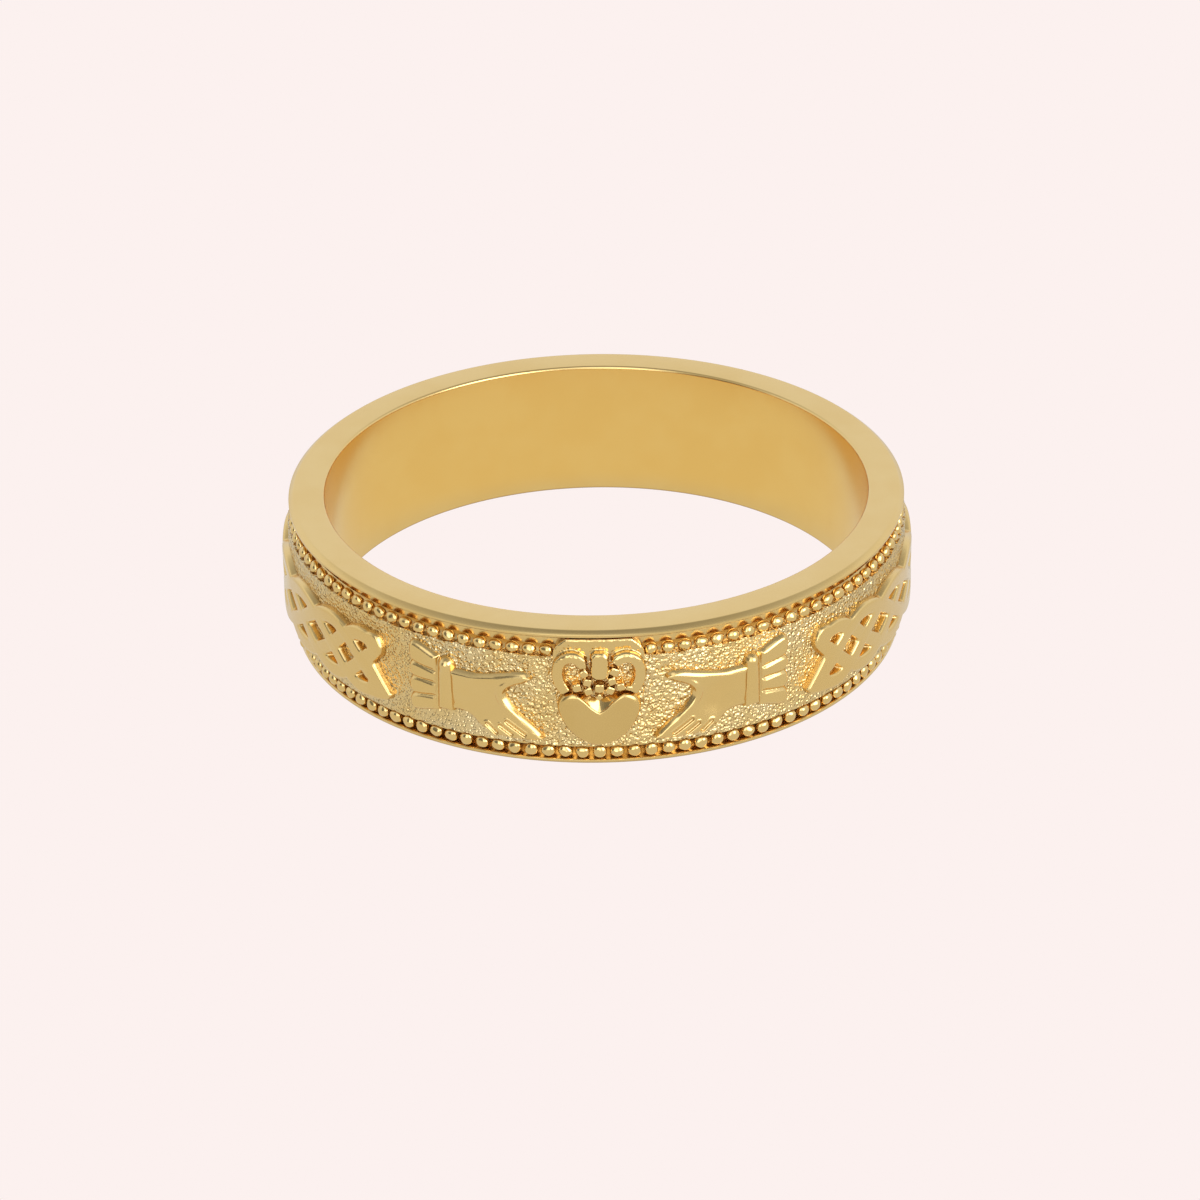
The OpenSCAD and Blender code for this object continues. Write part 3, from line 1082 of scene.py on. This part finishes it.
@dataclass
class Crown(SubAssembly):
    """The crown: hollowed plate, two arches, a long bead and small beads along its foot.

    Places in its tables are shares of half its width and of its height.
    """

    heart: Heart
    width: float = 2.85
    heart_lap: float = 0.05
    top_y: float = 4.3
    rise: float = 0.29
    plate_root: float = 0.4
    plate_rise: float = 0.02
    plate_edge: tuple[Point, ...] = ((0.03, 0.03), (0.03, 0.01))
    hollow_floor: float = -0.02
    arch_w: float = 0.36
    arch_edge: tuple[Point, ...] = ((-0.108, 0), (-0.036, 0.03), (0, 0.1))
    long_bead_l: float = 0.92
    long_bead_w: float = 0.53
    long_bead_at: Point = (0.02, 0.57)
    long_bead_rise: float = 0.31
    long_bead_edge: tuple[Point, ...] = ((0.03, 0.04), (0.05, 0.04))
    # Cut corners of a bead, as a share of half its width.
    chop: float = 0.45
    grain: float = 0.018
    outline: tuple[Row, ...] = (
        (0, 1.05, 0), (0.7, 1.05, 1), (0.93, 0.87, 0), (1, 0.6, 0), (0.95, 0.28, 0),
        (0.82, 0, 1), (0.45, 0, 0), (0, -0.15, 1),
    )
    arch: tuple[Point, ...] = (
        (0.7, 0.04), (0.83, 0.24), (0.86, 0.45), (0.79, 0.64), (0.61, 0.73), (0.44, 0.7), (0.35, 0.62),
    )
    hollow: tuple[Row, ...] = (
        (0.42, 0.28, 0), (0.43, 0.5, 0), (0.57, 0.58, 0), (0.71, 0.5, 0), (0.69, 0.3, 0), (0.56, 0.23, 0),
    )
    # Place, half the width in millimetres, and turn in degrees.
    pebbles: tuple[Row, ...] = (
        (-0.46, 0.14, 0.14, 15), (-0.22, 0.07, 0.13, 20), (-0.24, 0.25, 0.13, -15), (-0.31, 0.43, 0.13, 30),
        (-0.34, 0.6, 0.12, 10), (0.01, 0.13, 0.15, 0), (0.0, -0.05, 0.1, 40), (0.23, 0.08, 0.13, -25),
        (0.27, 0.27, 0.13, 20), (0.32, 0.46, 0.14, -30), (0.45, 0.15, 0.13, 10), (0.61, 0.12, 0.08, -20),
    )

    @property
    def foot(self) -> float:
        """Height of the crown's foot across the band, just below the top of the heart."""
        return self.sizes.figure_y + self.heart.height - self.heart_lap

    @property
    def height(self) -> float:
        """Height of the crown, up into the upper rim."""
        return self.top_y - self.foot

    def _place(self, x: float, y: float) -> Vector:
        """Point on the bench from shares of half the width and of the height."""
        return Vector((x * self.width / 2, self.foot + y * self.height, 0))

    def build(self) -> bpy.types.Object:
        """Model the plate and what stands on it, and wrap it as one piece.

        Returns:
            The dressed crown.
        """
        parts = [self._plate()]
        parts += [self._arch(side) for side in Side]
        parts += [self._pebble(*row) for row in self.pebbles]
        parts.append(self._long_bead())
        crown = join("crown", parts)
        cast_together(crown, self.grain, rounds=2)
        self.wrap(crown)
        return self.dress(crown, CHASED)

    def _plate(self) -> bpy.types.Object:
        """Back plate with its two hollows.

        Returns:
            The plate.
        """
        half, foot = self.width / 2, self.foot
        corners = shifted(curved(mirrored(self.outline), half, self.height), 0, foot)
        back = plate("crown_plate", corners, -self.plate_root, self.plate_rise, self.plate_edge)
        hollows = [shifted(curved(self.hollow, side.value * half, self.height), 0, foot) for side in Side]
        cut(back, [plate("hollow", hollow, self.hollow_floor, TOOL_TOP) for hollow in hollows])
        return back

    def _arch(self, side: Side) -> bpy.types.Object:
        """One arched band, from its foot over the top and curled in.

        Args:
            side: The side it stands on.

        Returns:
            The arch.
        """
        half = self.arch_w / 2
        section = even_section(half, self.rise, self.arch_edge, [(half, -self.sizes.root)])
        path = open_curve([self._place(side.value * x, y) for x, y in self.arch])
        return sweep(f"arch_{side.name.lower()}", section, path)

    def _pebble(self, x: float, y: float, half: float, turn: float) -> bpy.types.Object:
        """One small faceted bead.

        Args:
            x: Its place as a share of half the crown's width.
            y: Its place as a share of the crown's height.
            half: Half its width.
            turn: How far it is turned, in degrees.

        Returns:
            The bead.
        """
        root = self.sizes.root
        deselect_all()
        bpy.ops.mesh.primitive_cube_add(size=1)
        pebble = bpy.context.object
        pebble.scale = (2 * half, 2 * half, self.rise + root)
        pebble.location = self._place(x, y) + Vector((0, 0, (self.rise - root) / 2))
        pebble.rotation_euler.z = math.radians(turn)
        settle()
        apply_modifier(pebble, "BEVEL", width=half * self.chop, segments=2)
        return pebble

    def _long_bead(self) -> bpy.types.Object:
        """The long flat bead with cut corners that stands in the middle.

        Returns:
            The bead.
        """
        half_w, half_l = self.long_bead_w / 2, self.long_bead_l / 2
        chop = half_w * self.chop
        lower = [(half_w - chop, -half_l), (half_w, chop - half_l)]
        right = lower + [(x, -y) for x, y in reversed(lower)]
        corners = right + [(-x, -y) for x, y in right]
        at = self._place(*self.long_bead_at)
        corners = shifted(corners, at.x, at.y)
        return plate("long_bead", corners, -self.plate_root, self.long_bead_rise, self.long_bead_edge)


@dataclass
class Hand(SubAssembly):
    """One hand, thumb uppermost, that reaches for the heart.

    Places in its tables are shares of its length, from the wrist, and of its height.
    """

    side: Side = Side.LEFT
    gap: float = 1.64
    length: float = 2.94
    height: float = 2.36
    rise: float = 0.19
    lean: float = 0.05
    edge: tuple[Point, ...] = ((0.04, 0.05), (0.05, 0.03), (0.08, 0.02))
    slot_w: float = 0.12
    slot_depth: float = 0.06
    slot_steps: int = 6
    rim_gap: float = 0.035
    rim_r: float = 0.03
    rim_sink: float = 0.005
    rim_sides: int = 8
    ridge_h: float = 0.05
    ridge_sink: float = 0.08
    ridge_edge: tuple[Point, ...] = ((0.04, 0), (0.1, 0.03), (0.15, 0.12))
    grain: float = 0.024
    outline: tuple[Row, ...] = (
        (-0.04, 0.90, 1), (0.14, 0.895, 0), (0.28, 0.895, 0), (0.52, 0.955, 0), (0.69, 1, 0),
        (0.81, 1, 0), (0.88, 0.92, 0), (0.79, 0.83, 0), (0.67, 0.77, 0), (0.6, 0.7, 0),
        (0.62, 0.58, 0), (0.72, 0.41, 0), (0.86, 0.26, 0), (0.965, 0.13, 0), (1, 0.05, 0),
        (0.93, 0.01, 0), (0.69, 0, 0), (0.48, 0.03, 0), (0.34, 0.1, 0), (0.2, 0.22, 0),
        (0.1, 0.26, 0), (-0.04, 0.26, 1),
    )
    ridge: tuple[Point, ...] = (
        (0.76, 0.9), (0.63, 0.84), (0.545, 0.75), (0.52, 0.64), (0.555, 0.52), (0.66, 0.37), (0.8, 0.2),
    )
    # Start and end of each slot between two fingers.
    slots: tuple[Row, ...] = ((0.6, 0.27, 0.79, 0.1), (0.53, 0.2, 0.65, 0.09), (0.39, 0.2, 0.49, 0.09))
    # Hollows of the palm and its heel: place, reach, depth, and how far they fade out.
    dips: tuple[Row, ...] = (
        (0.36, 0.55, 0.2, 0.08, 0.65), (0.06, 0.55, 0.3, 0.02, 0.5), (0.12, 0.3, 0.2, 0.1, 0.5),
    )

    def place(self, along: float, up: float, out: float = 0.0) -> Vector:
        """Point on the bench from shares of the hand's length and height, and its height over the ground."""
        x = self.side.value * (self.gap + self.length - along * self.length)
        return Vector((x, self.sizes.figure_y + up * self.height, out))

    def build(self) -> bpy.types.Object:
        """Raise the palm, cut the finger slots, rim them, cast it all together and hollow the palm.

        Returns:
            The dressed hand.
        """
        corners = [self.place(along, up).to_2d()[:] for along, up in curved(self.outline, 1, 1)]
        palm = plate("palm", corners, -self.sizes.root, self.rise, self.edge, self.lean)
        apply_modifier(palm, "REMESH", mode="VOXEL", voxel_size=self.grain)
        cut(palm, [self._slot(row) for row in self.slots])
        rims = [self._slot_rim(row) for row in self.slots]
        hand = join(f"hand_{self.side.name.lower()}", [palm, self._crook_ridge(), *rims])
        cast_together(hand, self.grain, rounds=4)
        for along, up, reach, depth, spread in self.dips:
            press(hand, self.place(along, up, self.rise), reach, -depth, spread)
        self.wrap(hand)
        return self.dress(hand, FIGURES)

    def _slot_line(self, row: Row, reach: float) -> list[Point]:
        """Outline with round ends at a distance from a slot's middle line.

        Args:
            row: Start and end of the slot in the hand's shares.
            reach: Distance from the middle line.

        Returns:
            The outline's points.
        """
        start, end = self.place(*row[:2]), self.place(*row[2:])
        left = math.atan2(end.y - start.y, end.x - start.x) + math.pi / 2
        far = arc(end.x, end.y, reach, left - math.pi, math.pi, self.slot_steps)
        return far + arc(start.x, start.y, reach, left, math.pi, self.slot_steps)

    def _slot(self, row: Row) -> bpy.types.Object:
        """Tool that cuts one slot between two fingers."""
        return plate("slot", self._slot_line(row, self.slot_w / 2), self.rise - self.slot_depth, TOOL_TOP)

    def _slot_rim(self, row: Row) -> bpy.types.Object:
        """Low rounded rim round one slot.

        Args:
            row: Start and end of the slot in the hand's shares.

        Returns:
            The rim.
        """
        line = self._slot_line(row, self.slot_w / 2 + self.rim_gap)
        section = arc(0, 0, self.rim_r, 0, 2 * math.pi, self.rim_sides)[:-1]
        path = [Vector((x, y, self.rise - self.rim_sink)) for x, y in [*line, line[0]]]
        return sweep("slot_rim", section, path)

    def _crook_ridge(self) -> bpy.types.Object:
        """Low ridge that follows the crook between thumb and fingers and sinks away at both ends.

        Returns:
            The ridge.
        """
        path = open_curve([self.place(along, up) for along, up in self.ridge])
        for k, point in enumerate(path):
            point.z = -self.ridge_sink * (1 - math.sin(math.pi * k / (len(path) - 1)))
        return sweep("crook_ridge", even_section(0, self.rise + self.ridge_h, self.ridge_edge), path)


@dataclass
class Cuff(SubAssembly):
    """Wristband and pleated cuff behind a hand.

    Lengths of a pleat are shares of pleat_l, and heights of pleat_h. It starts pleat_lap under the
    wristband and has its widest place at pleat_wide.
    """

    hand: Hand
    wrist_gap: float = -0.06
    wrist_low: float = 0.26
    wrist_w: float = 0.58
    wrist_h: float = 1.86
    wrist_rise: float = 0.26
    wrist_lean: float = 0.04
    wrist_edge: tuple[Point, ...] = ((0.05, 0.08), (0.06, 0.05), (0.06, 0.03), (0.06, 0.015))
    wrist_steps: int = 8
    # Swell on the wristband: distance along it and down it, reach, height, and how far it fades out.
    swell: Row = (0.18, 0.2, 0.1, 0.05, 0.3)
    pleat_l: float = 1.04
    pleat_h: float = 2.34
    pleat_lap: float = 0.06
    pleat_wide: float = 0.8
    pleat_rise: float = 0.2
    pleat_lean: float = 0.03
    pleat_edge: tuple[Point, ...] = ((0.03, 0.06), (0.04, 0.04), (0.05, 0.03))
    grain: float = 0.024
    # Lower and upper edge of each pleat at the wristband, and at its free end.
    pleats: tuple[Row, ...] = (
        (0.07, 0.31, -0.02, 0.25), (0.28, 0.49, 0.22, 0.505),
        (0.46, 0.66, 0.47, 0.725), (0.63, 0.88, 0.69, 1.02),
    )

    def build(self) -> bpy.types.Object:
        """Raise the wristband and the pleats and cast them together.

        Returns:
            The dressed cuff.
        """
        s, side = self.sizes, self.hand.side.value
        start = self.hand.gap + self.hand.length + self.wrist_gap
        low = s.figure_y + self.hand.height * self.wrist_low
        wrist = self._wrist(start, low)
        parts = [plate("wrist", wrist, -s.root, self.wrist_rise, self.wrist_edge, self.wrist_lean)]
        pleat_low = low + self.wrist_h / 2 - self.pleat_h / 2
        for row in self.pleats:
            pleat = shifted(self._pleat(*row), side * (start + self.wrist_w), pleat_low)
            parts.append(plate("pleat", pleat, -s.root, self.pleat_rise, self.pleat_edge, self.pleat_lean))
        cuff = join(f"cuff_{self.hand.side.name.lower()}", parts)
        cast_together(cuff, self.grain, rounds=4)
        along, down, reach, push, spread = self.swell
        at = Vector((side * (start + along), low + self.wrist_h - down, self.wrist_rise))
        press(cuff, at, reach, push, spread)
        self.wrap(cuff)
        return self.dress(cuff, FIGURES)

    def _wrist(self, start: float, low: float) -> list[Point]:
        """Outline of the wristband, round at its upper end.

        Args:
            start: Distance of its near side along the band.
            low: Height of its lower end.

        Returns:
            The outline's points.
        """
        half = self.wrist_w / 2
        middle = self.hand.side.value * (start + half)
        round_end = arc(middle, low + self.wrist_h - half, half, 0, math.pi, self.wrist_steps)
        return [(middle - half, low), (middle + half, low), *round_end]

    def _pleat(self, inner_low: float, inner_high: float, outer_low: float, outer_high: float) -> list[Point]:
        """Outline of one pleat, measured from the wristband and the pleats' lower end.

        Args:
            inner_low: Its lower edge at the wristband.
            inner_high: Its upper edge at the wristband.
            outer_low: Its lower edge at its free end.
            outer_high: Its upper edge at its free end.

        Returns:
            The outline's points.
        """
        lap, wide = -self.pleat_lap, self.pleat_wide
        rows = [
            (lap, inner_low, 1), (wide, outer_low, 0), (1, (outer_low + outer_high) / 2, 0),
            (wide, outer_high, 0), (lap, inner_high, 1),
        ]
        return curved(rows, self.hand.side.value * self.pleat_l, self.pleat_h)


@dataclass
class Knotwork(SubAssembly):
    """Half of the plaited knotwork, from its pointed end to the middle of the back.

    Columns of crossings are numbered from the pointed end. Even columns cross in the middle under an
    arch, odd columns cross above and below a diamond. A ribbon swings down and up again in
    swing_columns, and the ribbons follow each other at even steps. first_plaits holds the lengths of
    the first columns as shares of plait_l. Each ribbon lies higher than the last by layer.
    """

    side: Side = Side.LEFT
    ribbons: int = 4
    swing_columns: int = 8
    start: float = 6.78
    end_l: float = 1.28
    plait_l: float = 1.22
    ribbon_w: float = 0.46
    lift: float = 0.14
    height_start: float = 2.3
    height_full: float = 2.16
    grow_columns: int = 5
    early: float = 0.5
    overlap: float = 0.02
    layer: float = 0.003
    ribbon_edge: tuple[Point, ...] = ((-0.06, 0), (-0.03, 0.01), (0, 0.04), (0.02, 0.1))
    # Where a ribbon's wall reaches the ground: distance out from its side, and height.
    ribbon_foot: Point = (0.05, -0.02)
    end_lean: float = 0.03
    end_edge: tuple[Point, ...] = ((0.02, 0.06), (0.03, 0.04))
    grain: float = 0.04
    step: float = 0.1
    first_plaits: tuple[float, ...] = (0.61, 0.61, 0.82, 0.86, 0.94)
    pointed_end: tuple[Row, ...] = (
        (0.2, 1, 1), (0.36, 1.02, 0), (0.55, 1, 0), (0.675, 0.91, 0), (0.735, 0.81, 0), (0.67, 0.7, 0),
        (0.43, 0.545, 1), (0.7, 0.36, 0), (1, 0.16, 1), (0.84, 0.06, 0), (0.5, 0.01, 0), (0.2, 0, 1),
    )

    @property
    def foot(self) -> float:
        """Height of the knotwork's lower edge across the band."""
        return self.sizes.figure_y + self.lift

    @property
    def even_l(self) -> float:
        """Length along the band from the first column of full size to the middle of the back."""
        return self.sizes.half_turn - self.start - self.end_l - sum(self.first_plaits) * self.plait_l

    @property
    def last_column(self) -> int:
        """Number of the column at the middle of the back."""
        return len(self.first_plaits) + round(self.even_l / self.plait_l)

    def column_l(self, i: int) -> float:
        """Length between a column and the next.

        Args:
            i: The column's number.

        Returns:
            The length.
        """
        first = len(self.first_plaits)
        if i < first:
            return self.first_plaits[i] * self.plait_l
        return self.even_l / (self.last_column - first)

    def column_at(self, f: float) -> float:
        """Distance along the band of a column, which may lie between two whole ones."""
        i = max(math.floor(f), 0)
        return self.start + self.end_l + sum(map(self.column_l, range(i))) + (f - i) * self.column_l(i)

    def height_at(self, f: float) -> float:
        """Height of the knotwork at a column, which may lie between two whole ones."""
        grown = min(max(f / self.grow_columns, 0), 1)
        return self.height_start + (self.height_full - self.height_start) * grown

    def _ribbon(self, number: int) -> bpy.types.Object:
        """One ribbon of the plait, laid nearly flush with the others.

        Args:
            number: Its number from 0.

        Returns:
            The ribbon.
        """
        s = self.sizes
        first, last = -self.early, self.last_column + self.overlap
        count = math.ceil((self.column_at(last) - self.column_at(first)) / self.step)
        path = []
        for k in range(count + 1):
            f = first + (last - first) * k / count
            swing = math.cos(2 * math.pi * (number / self.ribbons + f / self.swing_columns))
            across = self.height_at(f) / 2 + swing * (self.height_at(f) - self.ribbon_w) / 2
            path.append(Vector((self.side.value * self.column_at(f), self.foot + across, 0)))
        half, top = self.ribbon_w / 2, s.relief_h - self.layer * (self.ribbons - number)
        out, low = self.ribbon_foot
        section = even_section(half, top, self.ribbon_edge, [(half + out, low), (half + out, -s.root)])
        return sweep("ribbon", section, path)

    def _pointed_end(self) -> bpy.types.Object:
        """Flat plate with the notched end, in which the ribbons start.

        Returns:
            The plate.
        """
        s, side = self.sizes, self.side.value
        # Without the last points, the line from the last row to the first is straight.
        corners = curved(self.pointed_end, -side * self.end_l, self.height_start)[: 1 - CURVE_STEPS]
        corners = shifted(corners, side * (self.start + self.end_l), self.foot)
        top = s.relief_h - self.layer * (self.ribbons + 1)
        return plate("knot_end", corners, -s.root, top, self.end_edge, self.end_lean)

    def build(self) -> bpy.types.Object:
        """Lay the ribbons and the pointed end, cast them together and wrap them.

        Returns:
            The dressed half of the knotwork.
        """
        parts = [self._pointed_end(), *(self._ribbon(number) for number in range(self.ribbons))]
        knot = join(f"knotwork_{self.side.name.lower()}", parts)
        cast_together(knot, self.grain, rounds=2)
        self.wrap(knot)
        return self.dress(knot, FIGURES)


def show_apart(tree: bpy.types.NodeTree, glow: bpy.types.Node, seen: bpy.types.Node, output: str) -> None:
    """Let one shader light the metal and the camera see another one.

    Args:
        tree: The node tree of both.
        glow: The shader that lights the metal.
        seen: The shader that the camera sees.
        output: Name of the tree's output node.
    """
    camera_ray = add_node(tree, "LightPath").outputs["Is Camera Ray"]
    mix = add_node(tree, "MixShader", {0: camera_ray, 1: glow.outputs[0], 2: seen.outputs[0]})
    tree.links.new(mix.outputs[0], tree.nodes[output].inputs["Surface"])


@dataclass(frozen=True)
class Panel:
    """One soft light panel in the tent, or a dark one that takes light away.

    Attributes:
        toward: Direction in which it hangs.
        outer: Cosine of the angle at which its light starts.
        inner: Cosine of the angle at which it is full.
        light: How much it adds to the sky, below 0 for a dark panel.
    """

    toward: Row
    outer: float
    inner: float
    light: float

    def add_to(
        self, tree: bpy.types.NodeTree, around: bpy.types.NodeSocket, sky: bpy.types.NodeSocket
    ) -> bpy.types.NodeSocket:
        """Add the panel's light to the sky.

        Args:
            tree: The sky's node tree.
            around: The direction in the sky.
            sky: The sky's light so far.

        Returns:
            The light with the panel added.
        """
        toward = Vector(self.toward).normalized()
        lean = add_node(tree, "VectorMath", {0: around, 1: toward}, operation="DOT_PRODUCT")
        fade = add_ramp(tree, lean.outputs["Value"], self.outer, self.inner, self.light)
        return add_node(tree, "Math", {0: sky, 1: fade}, operation="ADD").outputs[0]


@dataclass
class Studio:
    """The pale floor, the soft light and the camera at the photograph's angle.

    Lengths are in metres and angles in degrees. Inside the ring the floor glows gold on the metal: painted
    light that stands in for light the band throws back onto the paper. It fades in from inside_r inwards
    and is full at the share inside_full of it. sky_profile pairs the sine of a height over the horizon
    with the light there.
    """

    target: Vector
    elevation: float = 27.9
    roll: float = 0.83
    distance: float = 0.1373
    lens: float = 128.2
    sensor_w: float = 36.0
    nearest: float = 0.005
    picture_w: int = 1200
    left_px: float = 3.0
    up_px: float = 52.7
    floor_w: float = 4.0
    paper: Row = (0.973, 0.879, 0.863)
    floor_glow: Row = (0.75, 0.77, 0.78)
    # Painted light: colour of the floor's glow inside the ring, standing in for gold light that the band
    # throws back.
    painted_bounce_glow: Row = (0.86, 0.81, 0.62)
    inside_r: float = 0.0092
    inside_full: float = 0.8
    sky_tint: Row = (0.88, 0.95, 1.08)
    sky_profile: tuple[Point, ...] = (
        (0.0, 0.85), (0.15, 0.95), (0.3, 1.0), (0.55, 1.0), (0.7, 0.75), (0.88, 0.52), (1.0, 0.38),
    )
    panels: tuple[Panel, ...] = (
        Panel((0.64, -0.66, 0.36), 0.90, 0.955, 3.6),
        Panel((-0.1, -0.6, 0.75), 0.90, 0.97, 0.9),
        Panel((-0.2, -0.94, 0.25), 0.94, 0.98, 1.7),
        Panel((-0.78, -0.55, 0.3), 0.89, 0.96, -0.75),
    )

    def build(self) -> None:
        """Set up everything round the ring."""
        self._floor()
        self._sky()
        self._camera()
        bpy.context.scene.view_settings.view_transform = "Standard"

    def _floor(self) -> None:
        """Wide pale floor that shows as even paper and glows softly on the metal, with painted gold light
        inside the ring.
        """
        deselect_all()
        bpy.ops.mesh.primitive_plane_add(size=self.floor_w)
        floor = bpy.context.object
        floor.name = "floor"
        material = bpy.data.materials.new("floor_paper")
        material.use_nodes = True
        tree = material.node_tree
        tree.nodes.remove(tree.nodes["Principled BSDF"])
        place = add_node(tree, "TexCoord").outputs["Object"]
        reach = add_node(tree, "VectorMath", {0: place}, operation="LENGTH").outputs["Value"]
        # Painted light: inside the ring the floor's glow on the metal turns gold, as if thrown back by the
        # band.
        inside = add_ramp(tree, reach, self.inside_r, self.inside_r * self.inside_full)
        tint = mix_colours(tree, inside, (*self.floor_glow, 1), (*self.painted_bounce_glow, 1))
        glow = add_node(tree, "Emission", {"Color": tint})
        seen = add_node(tree, "Emission", {"Color": (*self.paper, 1)})
        show_apart(tree, glow, seen, "Material Output")
        floor.data.materials.append(material)

    def _sky(self) -> None:
        """Soft tent of light round the ring, bright in front to the right and darker to the left."""
        world = bpy.data.worlds.new("tent")
        bpy.context.scene.world = world
        world.use_nodes = True
        tree = world.node_tree
        around = add_node(tree, "TexCoord").outputs["Generated"]
        height = add_node(tree, "SeparateXYZ", {0: around}).outputs["Z"]
        profile = add_node(tree, "ValToRGB", {"Fac": height})
        stops = profile.color_ramp.elements
        first, *between, last = self.sky_profile
        for stop, (position, light) in zip(stops, (first, last)):
            stop.position = position
            stop.color = (light, light, light, 1)
        for position, light in between:
            stops.new(position).color = (light, light, light, 1)
        strength = profile.outputs["Color"]
        for panel in self.panels:
            strength = panel.add_to(tree, around, strength)
        glow = tree.nodes["Background"]
        glow.inputs["Color"].default_value = (*self.sky_tint, 1)
        tree.links.new(strength, glow.inputs["Strength"])
        seen = add_node(tree, "Background", {"Color": (*self.paper, 1)})
        show_apart(tree, glow, seen, "World Output")

    def _camera(self) -> None:
        """Put the camera where the photograph was taken from."""
        tilt = math.radians(self.elevation)
        away = Vector((0, -math.cos(tilt), math.sin(tilt)))
        bpy.ops.object.camera_add(location=self.target + away * self.distance)
        camera = bpy.context.object
        camera.name = "camera"
        camera.rotation_euler = (-away).to_track_quat("-Z", "Y").to_euler()
        camera.rotation_euler.rotate_axis("Z", math.radians(-self.roll))
        camera.data.lens = self.lens
        camera.data.sensor_width = self.sensor_w
        camera.data.clip_start = self.nearest
        camera.data.shift_x = self.left_px / self.picture_w
        camera.data.shift_y = -self.up_px / self.picture_w
        bpy.context.scene.camera = camera


def main() -> None:
    """Build the ring piece by piece, then its surroundings."""
    logging.basicConfig(level=logging.INFO, format="%(message)s")
    sizes = BandSizes.from_frame()
    heart = Heart(sizes)
    parts: list[SubAssembly] = [
        Band(sizes),
        Ground(sizes),
        BeadRow(sizes, Edge.LOWER),
        BeadRow(sizes, Edge.UPPER, clear=1.5),
        heart,
        Crown(sizes, heart),
    ]
    for side in Side:
        hand = Hand(sizes, side)
        parts += [hand, Cuff(sizes, hand), Knotwork(sizes, side)]
    for part in parts:
        piece = part.build()
        LOG.info("%s: %d faces", piece.name, len(piece.data.polygons))
    low, high = CAD_BOX
    Studio(Vector((0, 0, (low[2] + high[2]) / 2))).build()


if __name__ == "__main__":
    main()
